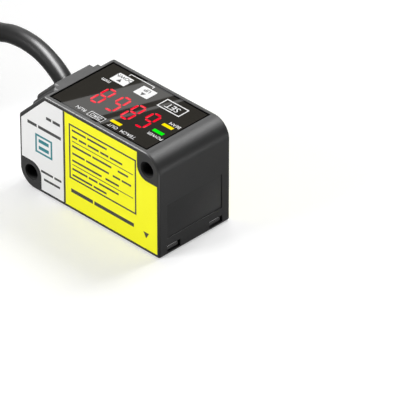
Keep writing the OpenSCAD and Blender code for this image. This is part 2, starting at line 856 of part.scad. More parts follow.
module optics_frame() {
    rib = 0.85;
    rib_play = 0.05;
    rib_d = back_wall_y - sensor_size.x/2 - frame_play;
    left = mirror_x - mirror_half - mirror_back;
    right = mirror_x + mirror_half - mirror_back;
    low = mirror_z - mirror_half + mirror_back;
    high = mirror_z + mirror_half + mirror_back;
    color("#2f3033")
        difference() {
            union() {
                span([base_left, -room_w + frame_play, floor_t],
                     [room_x - frame_play, room_w - frame_play, base_top]);
                span([back_wall_left, back_wall_y, base_top - eps],
                     [back_wall_right, back_wall_y + back_wall_t, back_wall_top]);
                translate([beam_x, 0, base_top - eps]) cylinder(r = collar_r, h = collar_h + eps);
                for (at = main_screws)
                    pin_y(at, standoff_d, back_wall_y + back_wall_t - eps, main_board_y);
                for (x = [sensor_board_x - rib_play - rib, sensor_board_x + board_t + rib_play])
                    span([x, back_wall_y - rib_d, sensor_board_z[0]],
                         [x + rib, back_wall_y + eps, sensor_board_z[1]]);
                translate([0, back_wall_y + eps, 0]) rotate([90, 0, 0])
                    linear_extrude(back_wall_y + mirror_size.y/2)
                    polygon([[left, low], [right, high], [left, high]]);
            }
            translate([beam_x, 0, base_top]) cylinder(d = barrel_d + 2*collar_play, h = collar_h + 1);
            translate([beam_x, 0, floor_t - 1]) cylinder(d = barrel_d - 2*barrel_lip, h = base_t + 2);
            translate([receiver_x, 0, floor_t - 1]) linear_extrude(base_t + 2)
                stadium(receiver_lens.x - 2*lens_lip, receiver_lens.y - 2*lens_lip);
            translate([receiver_x, 0, floor_t + base_t/2]) linear_extrude(lens_crown)
                stadium(receiver_lens.x + 2*panel_play, receiver_lens.y + 2*panel_play);
            for (at = main_screws)
                pin_y(at, screw_d, back_wall_y + 0.3, main_board_y + eps);
            for (at = frame_posts)
                pin_y(at, screw_d, back_wall_y - eps, back_wall_y + back_wall_t + eps);
        }
}

module laser_barrel() {
    color("#b98d4a")
        translate([beam_x, 0, 0])
            difference() {
                translate([0, 0, base_top]) cylinder(d = barrel_d, h = barrel_l);
                translate([0, 0, base_top - eps]) cylinder(d = lens_d - 2*barrel_lip, h = barrel_l);
                translate([0, 0, base_top + barrel_lip])
                    cylinder(d = lens_d, h = barrel_mid - base_top - barrel_lip);
                translate([0, 0, diode_z]) cylinder(d = diode_flange_d, h = barrel_l);
            }
}

module laser_diode() {
    can_h = 1.4;
    pin_l = 1.6;
    color("#c8b26a")
        translate([beam_x, 0, diode_z]) {
            cylinder(d = diode_flange_d, h = diode_flange_t);
            translate([0, 0, -can_h]) cylinder(d = diode_can_d, h = can_h + eps);
            for (at = diode_pins)
                translate([at.x, at.y, diode_flange_t - eps]) cylinder(d = diode_pin_d, h = pin_l);
        }
}
diode_pin_d = 0.4;
diode_pins = [for (turn = [0, 120, 240]) 0.9*[cos(turn), sin(turn)]];

module collimator_lens() {
    lens_h = 1.8;
    color("#dfe8ee", 0.6)
        translate([beam_x, 0, base_top + barrel_lip])
            intersection() {
                cylinder(d = lens_d, h = lens_h);
                translate([0, 0, lens_h - lens_d]) sphere(r = lens_d);
            }
}

module laser_flex() {
    width = 3.2;
    turn_y = [main_board_y - 0.3, main_board_back + 0.3];
    color("#b5651d")
        translate([0, 0, flex_z]) linear_extrude(flex_t)
            difference() {
                union() {
                    translate([beam_x - width/2 + 0.6, -width/2])
                        square([width - 0.6, width/2 + turn_y[1]]);
                    translate([main_board_x[1], turn_y[0]])
                        square([beam_x + width/2 - main_board_x[1], turn_y[1] - turn_y[0]]);
                }
                for (at = diode_pins) translate([beam_x + at.x, at.y]) circle(d = diode_pin_d);
            }
}

module receiver_lens() {
    seat = floor_t + base_t/2;
    color("#dfe8ee", 0.6)
        translate([receiver_x, 0, seat])
            intersection() {
                linear_extrude(lens_crown) stadium(receiver_lens.x, receiver_lens.y);
                translate([0, 0, lens_crown - lens_r]) sphere(r = lens_r);
            }
}

module fold_mirror() {
    color("#d9dde0")
        on_mirror() translate([0, 0, mirror_size.z/2])
            cube([mirror_size.x, mirror_size.y, mirror_size.z], center = true);
}

module sensor_board() {
    color("#1f5c34")
        span([sensor_board_x, -back_wall_y - 0.4, sensor_board_z[0]],
             [sensor_board_x + board_t, back_wall_y, sensor_board_z[1]]);
}

glass_t = 0.4;
module image_sensor() {
    color("#34353a")
        span([sensor_board_x - sensor_size.z, -sensor_size.x/2, sensor_z - sensor_size.y/2],
             [sensor_board_x, sensor_size.x/2, sensor_z + sensor_size.y/2]);
}

module sensor_glass() {
    rim = 0.6;
    face = sensor_board_x - sensor_size.z;
    color("#c9d6de", 0.5)
        span([face - glass_t, -sensor_size.x/2 + rim, sensor_z - sensor_size.y/2 + rim],
             [face, sensor_size.x/2 - rim, sensor_z + sensor_size.y/2 - rim]);
}

// Cable

module cable_bush() {
    color("#161616")
        on_exit() difference() {
            union() {
                translate([0, 0, -wall_depth]) cylinder(d = bush_d, h = wall_depth);
                translate([0, 0, -wall_depth - bush_flange_t])
                    cylinder(d = bush_flange_d, h = bush_flange_t);
            }
            translate([0, 0, -entry_l]) cylinder(d = cable_d, h = 2*entry_l);
        }
}

module cable_clamp() {
    color("#a9abad")
        on_exit() translate([0, 0, -wall_depth - bush_flange_t - clamp_l])
            difference() {
                cylinder(d = cable_d + 2*clamp_wall, h = clamp_l);
                translate([0, 0, -eps]) cylinder(d = cable_d, h = clamp_l + 2*eps);
            }
}

module cable_entry() {
    color("#2a2c2f") on_exit() translate([0, 0, -entry_l]) cylinder(d = cable_d, h = entry_l);
}

inner_lead_d = 0.7;
inner_lead_pitch = 0.85;
inner_lead_step = 0.127*(main_board_z[1] - main_board_z[0]);
module inner_leads() {
    end = exit_point + entry_l*[1, 0, -1]/root2;
    y = main_board_y + board_t/2;
    color("#8a5a3a")
        for (i = [0:4]) {
            from = end + [0.3, 0, -0.3] + (i - 2)*inner_lead_pitch*[1, 0, 1]/root2;
            to = [main_board_x[0] - 0.6, y, main_board_z[1] - 2 - inner_lead_step*(4 - i)];
            rod(from, to, inner_lead_d);
        }
}

function unit(v) = v/norm(v);
function direction(path, i) = unit(path[min(i + 1, len(path) - 1)] - path[max(i - 1, 0)]);

// A tube of radius r swept along a path, with flat ends
module tube(path, r, sides) {
    points = [
        for (i = [0:len(path) - 1])
            let (t = direction(path, i), across = unit(cross([0, 0, 1], t)), up = cross(t, across))
                for (k = [0:sides - 1])
                    path[i] + r*(cos(360*k/sides)*across + sin(360*k/sides)*up)
    ];
    faces = [
        [for (k = [0:sides - 1]) k],
        for (i = [0:len(path) - 2], k = [0:sides - 1])
            let (a = i*sides + k, b = i*sides + (k + 1) % sides)
                each [[a, a + sides, b], [b, a + sides, b + sides]],
        [for (k = [sides - 1:-1:0]) (len(path) - 1)*sides + k]
    ];
    polyhedron(points, faces);
}

module cable_run() {
    color("#2a2c2f") tube(cable_route, cable_d/2, cable_sides);
}

module cable_hank() {
    color("#2a2c2f")
        translate([hank_at.x, hank_at.y, hank_z]) linear_extrude(hank_h)
            difference() {
                stadium(hank_run + 2*hank_out_r, 2*hank_out_r);
                stadium(hank_run + 2*hank_in_r, 2*hank_in_r);
            }
}

// Two ties, each a band round one straight side of the hank
module cable_ties() {
    side_w = hank_out_r - hank_in_r;
    middle = (hank_out_r + hank_in_r)/2;
    color("#1b1b1b")
        for (side = [-1, 1])
            translate([hank_at.x + tie_at - tie_w/2, hank_at.y + side*middle, hank_z + hank_h/2])
                rotate([90, 0, 90])
                linear_extrude(tie_w) difference() {
                    square([side_w + 2*tie_t, hank_h + 2*tie_t], center = true);
                    square([side_w, hank_h], center = true);
                }
}

module cable_tail() {
    color("#2a2c2f")
        translate([tail_x[0], tail_y, lane_z]) rotate([0, 90, 0])
            cylinder(d = cable_d, h = tail_x[1] - tail_x[0]);
}

// Start and end of a core: on a circle in the jacket, then fanned out on the hank
function lead_start(i) = [
    tail_x[1] + 0.2,
    tail_y + lead_circle_r*cos(lead_turns[i]),
    lane_z + lead_circle_r*sin(lead_turns[i])
];
function lead_end(i) = [
    lead_end_x,
    tail_y + (i - 2)*lead_spread,
    hank_z + hank_h + core_d/2 + lead_lift
];

module lead(i) { rod(lead_start(i), lead_end(i), core_d); }

module brown_lead() { color("#6b3e22") lead(0); }
module blue_lead() { color("#2a5fa8") lead(1); }
module black_lead() { color("#1c1c1c") lead(2); }
module grey_lead() { color("#9a9a9a") lead(3); }
module pink_lead() { color("#d98a9c") lead(4); }

module lead_tips() {
    color("#c9c4b8")
        for (i = [0:4]) {
            along = unit(lead_end(i) - lead_start(i));
            rod(lead_end(i), lead_end(i) + tip_l*along, tip_d);
        }
}

// Labels

module label_plate(side, low, high) {
    translate([0, side*(case_w/2 - pocket_depth + label_t/2), 0]) across(label_t)
        intersection() {
            label_outline(0);
            translate([low, 0]) square([high - low, case_h]);
        }
}

module serial_label() { color("#f0f0ee") label_plate(-1, -case_l, label_split); }
module front_label() { color("#f8f227") label_plate(-1, label_split + label_gap, case_l); }
module rear_label() { color("#f8f227") label_plate(1, -case_l, case_l); }

housing();
window_plate();
window_mask();
window_seal();
display_sheet();
display_carrier();
digit_block();
lit_segments();
unlit_segments();
output_lamp();
power_lamp();
laser_lamp();
lamp_chips();
display_board();
down_switch();
up_switch();
set_switch();
down_plunger();
up_plunger();
set_plunger();
main_board();
board_header();
signal_chip();
driver_chip();
capacitors();
board_screws();
optics_frame();
frame_screws();
laser_barrel();
laser_diode();
collimator_lens();
laser_flex();
receiver_lens();
fold_mirror();
sensor_board();
image_sensor();
sensor_glass();
cable_bush();
cable_clamp();
cable_entry();
inner_leads();
serial_label();
front_label();
rear_label();
cable_run();
cable_hank();
cable_ties();
cable_tail();
brown_lead();
blue_lead();
black_lead();
grey_lead();
pink_lead();
lead_tips();
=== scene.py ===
import json
import math

import bpy
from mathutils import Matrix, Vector

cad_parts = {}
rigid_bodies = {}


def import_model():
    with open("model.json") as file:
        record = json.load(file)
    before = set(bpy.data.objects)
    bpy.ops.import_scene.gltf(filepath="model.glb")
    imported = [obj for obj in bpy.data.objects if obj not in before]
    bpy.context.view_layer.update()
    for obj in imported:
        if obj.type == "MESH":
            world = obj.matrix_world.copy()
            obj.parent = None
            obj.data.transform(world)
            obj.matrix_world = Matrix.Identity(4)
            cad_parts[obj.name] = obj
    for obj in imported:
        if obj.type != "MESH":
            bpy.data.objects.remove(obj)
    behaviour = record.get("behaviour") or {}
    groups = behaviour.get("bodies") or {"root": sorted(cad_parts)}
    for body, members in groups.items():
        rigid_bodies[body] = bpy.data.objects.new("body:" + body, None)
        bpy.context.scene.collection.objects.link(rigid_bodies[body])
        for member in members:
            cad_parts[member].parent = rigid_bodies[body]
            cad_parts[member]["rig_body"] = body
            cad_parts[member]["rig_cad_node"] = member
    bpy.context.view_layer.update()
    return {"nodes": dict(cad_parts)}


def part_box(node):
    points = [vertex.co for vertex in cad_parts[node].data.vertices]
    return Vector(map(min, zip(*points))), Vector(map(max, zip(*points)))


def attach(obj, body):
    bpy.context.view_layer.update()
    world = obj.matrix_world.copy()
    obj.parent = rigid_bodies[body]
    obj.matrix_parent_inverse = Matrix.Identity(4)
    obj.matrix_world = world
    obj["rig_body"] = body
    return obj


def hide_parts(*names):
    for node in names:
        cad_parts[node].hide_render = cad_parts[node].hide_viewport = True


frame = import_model()
nodes = frame["nodes"]
bpy.ops.object.select_all(action="DESELECT")
scene = bpy.context.scene
scene.view_settings.view_transform = "Standard"
mm = 0.001  # places and sizes below are in millimetres, unless a note says metres

# Camera at the photograph's angle
cameraSet = {
    "turn": 44.76, "rise": 34.12, "distance": 1254.0, "aim": (11.9, 11.8, 0.0),
    "lens": 508.0, "sensor": 36.0, "clip": (0.02, 50.0),  # clip in metres
}
turn = math.radians(cameraSet["turn"])
rise = math.radians(cameraSet["rise"])
back = Vector((math.sin(turn) * math.cos(rise), -math.cos(turn) * math.cos(rise), math.sin(rise)))
bpy.ops.object.camera_add(location=(Vector(cameraSet["aim"]) + back * cameraSet["distance"]) * mm)
camera = bpy.context.object
camera.name = "photoCamera"
camera.rotation_euler = back.to_track_quat("Z", "Y").to_euler()
camera.data.sensor_width = cameraSet["sensor"]
camera.data.lens = cameraSet["lens"]
camera.data.clip_start, camera.data.clip_end = cameraSet["clip"]
scene.camera = camera
print("stage: camera")

# Cable: out of the boss, over a low arch, down to the hank, round it and out on top
cable = {
    "exit": (-19.103, 0.0, 23.103), "diameter": 4.4, "bevel": 2.19, "length": 2.0,  # length in metres
    "arch": [(0, 0), (-0.6, 0.6), (-2.4, 2), (-5, 3.46), (-7.9, 4.5), (-10.9, 4.96), (-14, 4.96),
             (-17, 4.52), (-19.9, 3.6)],
    "fall": 31.0, "fallSide": 4.4, "fallSteps": 8, "fallShare": 0.36, "laneZ": 25.0,
    "hankX": -101.503, "hankY": -8.8, "run": 63.0, "inner": 13.2, "outer": 17.59,
    "rows": [3.0, 7.4, 11.8, 16.2, 20.6], "runSteps": 4, "foldSteps": 8, "settle": 0.22,
    "down": (0.51, 0.74), "out": (0.13, 0.245), "up": (0.005, 0.12),  # shares of a turn that change lane
    "lastTurn": 0.6, "riseRun": 24.0, "riseSteps": 5, "tailY": -24.2, "tailEnd": -77.003,
}


def ease(u):
    u = min(1.0, max(0.0, u))
    return u * u * (3 - 2 * u)


def onLoop(f, r, z):
    # Point of a turn: north run, west fold, south run, east fold
    half = cable["run"] / 2
    part = (f % 1.0) * 4
    if part < 1:
        x, y = half - cable["run"] * part, r
    elif part < 2:
        a = math.pi / 2 + math.pi * (part - 1)
        x, y = -half + r * math.cos(a), r * math.sin(a)
    elif part < 3:
        x, y = -half + cable["run"] * (part - 2), -r
    else:
        a = -math.pi / 2 + math.pi * (part - 3)
        x, y = half + r * math.cos(a), r * math.sin(a)
    return (cable["hankX"] + x, cable["hankY"] + y, z)


def cablePoints():
    ex, ey, ez = cable["exit"]
    laneZ, tailY = cable["laneZ"], cable["tailY"]
    points = [(ex + dx, ey, ez + dz) for dx, dz in cable["arch"]]
    x0, z0 = points[-1][0], points[-1][2]
    for i in range(1, cable["fallSteps"] + 1):
        u = i / cable["fallSteps"]
        drop = (1 - min(1.0, u / cable["fallShare"])) ** 2
        points.append((x0 - cable["fall"] * u, cable["fallSide"] * ease(u), laneZ + (z0 - laneZ) * drop))
    # Down the inner lanes, across at the bottom and up the outer ones
    rows = cable["rows"]
    lanes = [(cable["inner"], z) for z in reversed(rows)] + [(cable["outer"], z) for z in rows]
    spans = [cable["down"]] * (len(rows) - 1) + [cable["out"]] + [cable["up"]] * (len(rows) - 1)
    runs, folds = cable["runSteps"], cable["foldSteps"]
    steps = [i / (4 * runs) for i in range(runs)] + [0.25 + i / (4 * folds) for i in range(folds)]
    steps = steps + [0.5 + s for s in steps]
    for k, (start, end) in enumerate(spans):
        (r0, z0), (r1, z1) = lanes[k], lanes[k + 1]
        for f in steps:
            if k == 0 and f == 0 or k == len(spans) - 1 and f > cable["lastTurn"]:
                continue
            w = ease((f - start) / (end - start))
            z = z0 + (z1 - z0) * w
            if k == 0:
                z += (laneZ - z) * (1 - ease(f / cable["settle"]))
            points.append(onLoop(f, r0 + (r1 - r0) * w, z))
    x0, y0, z0 = points[-1]
    for i in range(1, cable["riseSteps"] + 1):
        w = ease(i / cable["riseSteps"])
        points.append((x0 + cable["riseRun"] * i / cable["riseSteps"], y0 + (tailY - y0) * w,
                       z0 + (laneZ - z0) * w))
    points.append((cable["tailEnd"], tailY, laneZ))
    return points


def roundCord(name, places, radius, steps=5, sides=5):
    # One open spline through the places, as a round cord
    line = bpy.data.curves.new(name, "CURVE")
    line.dimensions = "3D"
    line.bevel_depth = radius  # the knots scale it to millimetres
    line.bevel_resolution = sides
    line.resolution_u = steps
    line.use_fill_caps = True
    spline = line.splines.new("BEZIER")
    spline.bezier_points.add(len(places) - 1)
    for knot, place in zip(spline.bezier_points, places):
        knot.co = Vector(place) * mm
        knot.radius = mm
        knot.handle_left_type = knot.handle_right_type = "AUTO"
    piece = bpy.data.objects.new(name, line)
    scene.collection.objects.link(piece)
    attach(piece, "sensor")
    return piece


cableJacket = roundCord("cableJacket", cablePoints(), cable["bevel"])
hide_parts("cable_run", "cable_hank", "cable_tail")
print("stage: cable")

# Cores at the bare end: each leaves the jacket on a small circle and fans out on the hank
cores = {
    "names": ["brown", "blue", "black", "grey", "pink"], "turns": [162, 234, 90, 306, 18],
    "circle": 1.15, "start": -76.803, "end": -63.003, "spread": 2.2, "endZ": 23.9, "radius": 0.6,
    "hidden": 0.6, "sway": [0.35, -0.3, 0.4, 0.3, -0.35], "swayUp": 0.15,
    "knots": [(0.12, 0.0), (0.36, 1.0), (0.64, 0.4), (0.86, 0.0)],  # share of the way and of the sway
    "steps": 6, "sides": 3,
    "tones": {"brown": (0.12, 0.045, 0.02), "blue": (0.02, 0.08, 0.36), "black": (0.012, 0.012, 0.012),
              "grey": (0.25, 0.25, 0.25), "pink": (0.75, 0.28, 0.34)}, "paler": 1.15,
}


def corePoints(i):
    a = math.radians(cores["turns"][i])
    p = Vector((cores["start"], cable["tailY"] + cores["circle"] * math.cos(a),
                cable["laneZ"] + cores["circle"] * math.sin(a)))
    fromMiddle = i - len(cores["names"]) // 2
    q = Vector((cores["end"], cable["tailY"] + fromMiddle * cores["spread"], cores["endZ"]))
    side = Vector((0, cores["sway"][i], cores["swayUp"]))
    between = [p.lerp(q, way) + side * share for way, share in cores["knots"]]
    return [p - Vector((cores["hidden"], 0, 0))] + between + [q]


coreCords = []
for i, coreName in enumerate(cores["names"]):
    core = roundCord(coreName + "Core", corePoints(i), cores["radius"], cores["steps"], cores["sides"])
    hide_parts(coreName + "_lead")
    coreCords.append(core)
print("stage: cores")


def startPiece(name):
    piece = bpy.context.object
    piece.name = name
    piece.data.name = name
    return piece


def selectOnly(piece):
    bpy.ops.object.select_all(action="DESELECT")
    piece.select_set(True)
    bpy.context.view_layer.objects.active = piece


def applyPlace(piece):
    selectOnly(piece)
    bpy.ops.object.transform_apply(location=True, rotation=True, scale=True)


def applyModifiers(piece):
    bpy.context.view_layer.objects.active = piece
    for modifier in list(piece.modifiers):
        bpy.ops.object.modifier_apply(modifier=modifier.name)


def joinPieces(first, others):
    selectOnly(first)
    for other in others:
        other.select_set(True)
    bpy.ops.object.join()
    return first


def bevelEdges(piece, width, segments, limit=30.0):
    # Rounds the edges that turn by more than the limit, in degrees
    soft = piece.modifiers.new("softEdge", "BEVEL")
    soft.width = width * mm
    soft.segments = segments
    soft.limit_method = "ANGLE"
    soft.angle_limit = math.radians(limit)


def pickFaces(piece, test):
    # Selects faces by centre and normal, in edit mode afterwards
    bpy.ops.object.mode_set(mode="EDIT")
    bpy.ops.mesh.select_mode(type="FACE")
    bpy.ops.mesh.select_all(action="DESELECT")
    bpy.ops.object.mode_set(mode="OBJECT")
    for face in piece.data.polygons:
        face.select = test(face.center / mm, face.normal)
    bpy.ops.object.mode_set(mode="EDIT")


redraw = {
    "merge": 0.001, "flatAngle": 0.3, "bevelAngle": 38.0, "segments": 2, "smoothAngle": 32.0, "weight": 100,
}


def redrawn(name, nodeName, edge=0.0, lift=0.0, slim=0.0):
    # The CAD part's own shape with merged points, broken edges and clean shading
    piece = nodes[nodeName].copy()
    piece.data = nodes[nodeName].data.copy()
    piece.name = piece.data.name = name
    piece.parent = None
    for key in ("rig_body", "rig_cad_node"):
        if key in piece:
            del piece[key]
    scene.collection.objects.link(piece)
    selectOnly(piece)
    bpy.ops.object.mode_set(mode="EDIT")
    bpy.ops.mesh.select_all(action="SELECT")
    bpy.ops.mesh.remove_doubles(threshold=redraw["merge"] * mm)
    bpy.ops.mesh.customdata_custom_splitnormals_clear()
    bpy.ops.mesh.dissolve_limited(angle_limit=math.radians(redraw["flatAngle"]))
    if slim:
        bpy.ops.transform.shrink_fatten(value=-slim * mm, use_even_offset=True)
    if lift:
        bpy.ops.transform.translate(value=(0, 0, lift * mm))
    bpy.ops.object.mode_set(mode="OBJECT")
    if edge:
        bevelEdges(piece, edge, redraw["segments"], redraw["bevelAngle"])
        applyModifiers(piece)
    bpy.ops.object.shade_smooth_by_angle(angle=math.radians(redraw["smoothAngle"]))
    if edge:
        flat = piece.modifiers.new("flatFaces", "WEIGHTED_NORMAL")
        flat.weight = redraw["weight"]
        flat.keep_sharp = True
        applyModifiers(piece)
    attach(piece, "sensor")
    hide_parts(nodeName)
    return piece


# Case, film, window and labels, with the edges that catch the light
caseSet = {
    "edge": 0.22, "end": 22.0,
    "recessIn": (0.005, 0.4), "recessWide": 8.8, "recessTall": (4.0, 13.6), "shallow": 0.35,
}


def inRecess(c, n):
    least, most = caseSet["recessIn"]
    low, high = caseSet["recessTall"]
    return least < caseSet["end"] - c.x < most and abs(c.y) < caseSet["recessWide"] and low < c.z < high


caseShell = redrawn("caseShell", "housing", edge=caseSet["edge"])
# The recess in the beam end is drawn shallower than its solid, because it hardly shows
pickFaces(caseShell, inRecess)
bpy.ops.transform.resize(value=(caseSet["shallow"], 1, 1), center_override=(caseSet["end"] * mm, 0, 0))
bpy.ops.object.mode_set(mode="OBJECT")
filmSheet = redrawn("filmSheet", "display_sheet")
windowPane = redrawn("windowPane", "window_plate")
serialSticker = redrawn("serialSticker", "serial_label")
frontSticker = redrawn("frontSticker", "front_label")
rearSticker = redrawn("rearSticker", "rear_label")
print("stage: case, film, window and labels", len(caseShell.data.polygons), "case faces")

# Hank ties: a strap round each side of the hank, with its head and cut tail
ties = {
    "x": -129.003, "wide": 4.0, "thick": 0.8, "sideOut": 19.8, "sideIn": 11.0, "low": 0.8, "high": 22.8,
    "wallShare": 0.97, "head": (5.6, 4.6, 3.0), "headSunk": 0.1, "mouthRim": 0.8, "mouthDeep": 0.9,
    "tail": (2.9, 1.0, 3.2), "smoothAngle": 40.0,
    "fold": (1.2, 4), "edge": (0.12, 2, 50.0), "headEdge": (0.3, 3), "tailEdge": (0.18, 2),  # for bevelEdges
}


def block(name, size, place):
    bpy.ops.mesh.primitive_cube_add(size=1, location=[v * mm for v in place])
    piece = startPiece(name)
    piece.scale = [v * mm for v in size]
    applyPlace(piece)
    return piece


def hankTie(side):
    middle = cable["hankY"] + side * (ties["sideOut"] + ties["sideIn"]) / 2
    deep = ties["sideOut"] - ties["sideIn"] + 2 * ties["thick"]
    tall = ties["high"] - ties["low"] + 2 * ties["thick"]
    halfway = (ties["low"] + ties["high"]) / 2
    strap = block("hankTie", (ties["wide"], deep, tall), (ties["x"], middle, halfway))
    pickFaces(strap, lambda c, n: abs(n.x) > 0.9)  # both open ends
    bpy.ops.mesh.delete(type="FACE")
    bpy.ops.object.mode_set(mode="OBJECT")
    bevelEdges(strap, *ties["fold"])
    wall = strap.modifiers.new("wall", "SOLIDIFY")
    wall.thickness = ties["thick"] * ties["wallShare"] * mm
    wall.offset = -1
    bevelEdges(strap, *ties["edge"])
    applyModifiers(strap)
    # Head on top: a block with a slot mouth, and the strap's cut tail through it
    top = ties["high"] + ties["thick"]
    head = block("tieHead", ties["head"], (ties["x"], middle, top + ties["head"][2] / 2 - ties["headSunk"]))
    pickFaces(head, lambda c, n: n.z > 0.9)  # the upper face
    bpy.ops.mesh.inset(thickness=ties["mouthRim"] * mm)
    bpy.ops.mesh.extrude_region_move(TRANSFORM_OT_translate={"value": (0, 0, -ties["mouthDeep"] * mm)})
    bpy.ops.object.mode_set(mode="OBJECT")
    bevelEdges(head, *ties["headEdge"])
    applyModifiers(head)
    tail = block("tieTail", ties["tail"], (ties["x"], middle, top + ties["tail"][2] / 2))
    bevelEdges(tail, *ties["tailEdge"])
    applyModifiers(tail)
    return joinPieces(strap, [head, tail])


hankTies = joinPieces(hankTie(1), [hankTie(-1)])
hankTies.name = hankTies.data.name = "hankTies"
bpy.ops.object.shade_smooth_by_angle(angle=math.radians(ties["smoothAngle"]))
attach(hankTies, "sensor")
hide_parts("cable_ties")
print("stage: ties")

# Print on the labels and the film: flat bars, frames, signs and words, each a thin raised layer
frontFace = {"turn": (math.pi / 2, 0, 0), "level": -10.97, "axis": 1, "out": -1}
rearFace = {"turn": (-math.pi / 2, 0, 0), "level": 10.97, "axis": 1, "out": 1}
filmFace = {"turn": (0, 0, 0), "level": 25.9, "axis": 2, "out": 1}
ink = {
    "thick": 0.016, "sunk": 0.25, "merge": 0.0005, "cornerSteps": 3,
    "letterSteps": 3, "bolder": 0.012, "wordGap": 0.22,
}


def facePlace(face, a, b):
    level = face["level"] - face["out"] * ink["thick"] * ink["sunk"]
    return (a * mm, level * mm, b * mm) if face["axis"] == 1 else (a * mm, b * mm, level * mm)


def frameBars(x0, x1, z0, z1, line):
    return [(x0, x1, z1 - line, z1), (x0, x1, z0, z0 + line), (x0, x0 + line, z0 + line, z1 - line),
            (x1 - line, x1, z0 + line, z1 - line)]


def wordMesh(face, text, x, b, size):
    bpy.ops.object.text_add(location=facePlace(face, x, b), rotation=(0, 0, math.pi))
    word = bpy.context.object
    word.data.body = text
    word.data.size = size * mm
    word.data.align_x = "CENTER"
    word.data.align_y = "CENTER"
    word.data.resolution_u = ink["letterSteps"]
    word.data.offset = ink["bolder"] * size * mm
    bpy.ops.object.convert(target="MESH")
    word = bpy.context.object
    applyPlace(word)
    return word


def printLayer(name, face, bars, signs=(), words=(), corner=0.0):
    # Bars, signs and words as flat faces in one mesh, then drawn out to the ink's thickness
    upright = face["axis"] == 1
    bpy.ops.mesh.primitive_plane_add(size=1, location=(0, 0, 0))
    layer = startPiece(name)
    bpy.ops.object.mode_set(mode="EDIT")
    bpy.ops.mesh.delete(type="VERT")  # the layer starts empty
    for x0, x1, b0, b1 in bars:
        place = facePlace(face, (x0 + x1) / 2, (b0 + b1) / 2)
        bpy.ops.mesh.primitive_plane_add(size=1, location=place, rotation=face["turn"])
        wide, tall = (x1 - x0) * mm, (b1 - b0) * mm
        size = (wide, 1, tall) if upright else (wide, tall, 1)
        bpy.ops.transform.resize(value=size, center_override=place)
        if corner:
            bpy.ops.mesh.bevel(offset=corner * mm, segments=ink["cornerSteps"], affect="VERTICES")
    for x, b, r, spin in signs:
        place = facePlace(face, x, b)
        bpy.ops.mesh.primitive_circle_add(vertices=3, radius=r * mm, fill_type="NGON", location=place,
                                          rotation=(face["turn"][0], 0, 0 if upright else spin))
        if upright and spin:
            bpy.ops.transform.rotate(value=spin, orient_axis="Y", center_override=place)
    bpy.ops.object.mode_set(mode="OBJECT")
    letters = [wordMesh(face, *word) for word in words]
    if letters:
        joinPieces(layer, letters)
    selectOnly(layer)
    bpy.ops.object.mode_set(mode="EDIT")
    bpy.ops.mesh.select_all(action="SELECT")
    bpy.ops.mesh.remove_doubles(threshold=ink["merge"] * mm)
    step = [0, 0, 0]
    step[face["axis"]] = face["out"] * ink["thick"] * mm
    bpy.ops.mesh.extrude_region_move(TRANSFORM_OT_translate={"value": step})
    bpy.ops.mesh.select_all(action="SELECT")
    bpy.ops.mesh.normals_make_consistent(inside=False)
    bpy.ops.object.mode_set(mode="OBJECT")
    applyPlace(layer)
    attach(layer, "sensor")
    return layer


def lineBars(lines):
    # A line of print as a few word-long blocks
    gap = ink["wordGap"]
    bars = []
    for x0, x1, z, tall, breaks in lines:
        cuts = [x0] + [x0 + (x1 - x0) * c for c in breaks] + [x1]
        for a, b in zip(cuts, cuts[1:]):
            start, end = a + (gap if a > x0 else 0), b - (gap if b < x1 else 0)
            bars.append((start, end, z - tall / 2, z + tall / 2))
    return bars


# Lines give start, end, height, letter height and the shares at which a word ends
yellowPrint = {
    "frame": (-6.1, 14.9, 8.4, 22.8), "line": 0.42,
    "rules": [(-5.1, 13.9, 18.5), (-5.1, 13.9, 12.35)], "rule": 0.22,
    "lines": [(-5.1, 5.8, 21.35, 0.5, [0.42]), (-5.1, 10.6, 19.65, 0.5, [0.12, 0.3, 0.55, 0.74]),
              (-5.1, 7.2, 17.25, 0.5, [0.5]), (9.2, 12.4, 17.25, 0.5, []),
              (-5.1, 6.4, 15.3, 0.5, [0.36]), (7.6, 13.3, 15.3, 0.5, [0.45]),
              (-5.1, 4.1, 13.45, 0.5, []), (5.3, 9.5, 13.45, 0.5, []),
              (-5.1, 9.4, 11.2, 0.5, [0.34, 0.56]), (-5.1, 5.6, 9.6, 0.5, [0.6]),
              (-5.6, 14.1, 5.3, 0.95, [0.36])],
    "rearLines": [(-13.6, -8.9, 20.9, 0.6, [0.4]), (-12.2, -8.9, 18.9, 0.6, [])],
    "seam": (-7.68, -7.38, 0.95, 25.05), "beamSign": (17.9, 4.7, 1.0),
}
whitePrint = {
    "lines": [(-13.3, -8.9, 20.7, 0.75, [0.42]), (-19.3, -8.7, 17.3, 0.8, [0.3]),
              (-15.2, -8.7, 5.9, 0.6, [0.62]), (-14.3, -9.2, 4.0, 0.6, [])],
    "patch": (-16.9, -11.5, 10.3, 15.2), "patchLine": 0.5, "patchBar": (1.1, 2.0),
}


def boxedPrint(lines):
    # The frame, its two rules and the lines of print in and under it
    bars = frameBars(*yellowPrint["frame"], yellowPrint["line"])
    for a, b, z in yellowPrint["rules"]:
        bars.append((a, b, z - yellowPrint["rule"] / 2, z + yellowPrint["rule"] / 2))
    return bars + lineBars(lines)


def turnedLines(lines):
    # The same lines for the other side, where they start at the far end of the frame
    ends = yellowPrint["frame"][0] + yellowPrint["frame"][1]
    return [(ends - x1, ends - x0, z, tall, [1 - c for c in reversed(breaks)])
            for x0, x1, z, tall, breaks in lines]


def patchBars():
    # A framed field with a bar at its foot and one at its head
    x0, x1, z0, z1 = whitePrint["patch"]
    near, far = whitePrint["patchBar"]
    return frameBars(x0, x1, z0, z1, whitePrint["patchLine"]) + [
        (x0 + near, x1 - near, z0 + near, z0 + far), (x0 + near, x1 - near, z1 - far, z1 - near)]


